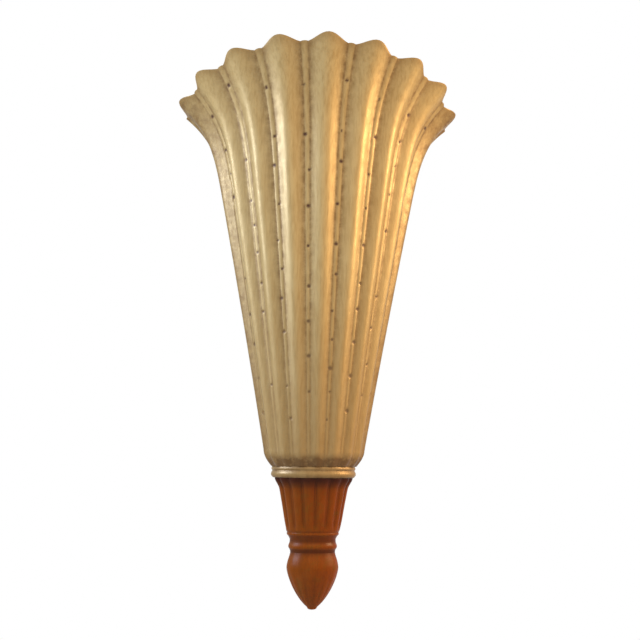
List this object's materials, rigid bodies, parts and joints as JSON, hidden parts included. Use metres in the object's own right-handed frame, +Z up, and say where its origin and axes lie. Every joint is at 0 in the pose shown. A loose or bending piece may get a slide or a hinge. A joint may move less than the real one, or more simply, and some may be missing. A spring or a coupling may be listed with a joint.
{
  "type": "wall sconce",
  "caption": "Half-oval fluted uplight sconce: gilded lobed shell open at the top, gilt collar, reeded stem and bud finial, candle bulb inside.",
  "frame": {"origin": "middle of the two wall screw holes, on the wall plane", "axes": "+Z up, -Y out of the wall towards the room, +X to the right seen from the room"},
  "size_m": [0.285, 0.0939, 0.5399],
  "materials": {
    "gilded_shell": "aged champagne gilding over composition, satin",
    "gilded_collar": "aged gilding, satin",
    "stained_wood": "red-brown stain, semi-gloss",
    "dowel_wood": "bare beech",
    "board_ply": "plywood, unfinished",
    "zinc_steel": "zinc plated, satin",
    "brass_parts": "bright",
    "holder_plastic": "moulded, matte",
    "holder_ceramic": "unglazed",
    "bulb_glass": "clear",
    "bulb_mount": "clear pressed",
    "filament_phosphor": "phosphor coated",
    "bulb_metal": "rolled, satin",
    "bulb_insulator": "gloss",
    "block_nylon": "moulded nylon",
    "rubber_bush": "matte",
    "wire_brown": "insulation",
    "wire_blue": "insulation",
    "wire_green_yellow": "insulation"
  },
  "bodies": {
    "wall": {"wall_cleat": "zinc_steel"},
    "sconce": {"shell": "gilded_shell", "collar": "gilded_collar", "stem": "stained_wood", "bead_ring": "stained_wood", "finial": "stained_wood", "stem_dowel": "dowel_wood", "back_board": "board_ply", "board_cleat": "zinc_steel", "cleat_screws": "zinc_steel", "board_screws": "zinc_steel", "lamp_bracket": "zinc_steel", "bracket_screws": "zinc_steel", "earth_screw": "brass_parts", "nipple": "brass_parts", "nipple_nut": "brass_parts", "holder_body": "holder_plastic", "holder_insert": "holder_ceramic", "holder_thread": "brass_parts", "holder_contact": "brass_parts", "terminal_block": "block_nylon", "terminal_fixings": "zinc_steel", "terminal_sleeves": "brass_parts", "terminal_screws": "brass_parts", "cable_grommet": "rubber_bush", "wire_live": "wire_brown", "wire_neutral": "wire_blue", "wire_earth": "wire_green_yellow"},
    "bulb_thread": {"bulb_contact": "bulb_insulator"},
    "bulb": {"bulb_cap": "bulb_metal", "bulb_glass": "bulb_glass", "bulb_stem": "bulb_mount", "bulb_filaments": "filament_phosphor"}
  },
  "joints": [
    {"name": "lift_off", "type": "slide", "parent": "wall", "child": "sconce", "axis": [0, 0, 1], "range_m": [0, 0.012]},
    {"name": "bulb_rise", "type": "slide", "parent": "sconce", "child": "bulb_thread", "axis": [0, 0, 1], "range_m": [0, 0.0115]},
    {"name": "bulb_turn", "type": "hinge", "parent": "bulb_thread", "child": "bulb", "pos_m": [0, -0.032, 0], "axis": [0, 0, 1], "range_deg": [0, 1440]}
  ],
  "couplings": [
    {"joint": "bulb_rise", "follows": "bulb_turn", "m_per_rad": 0.00044917}
  ]
}
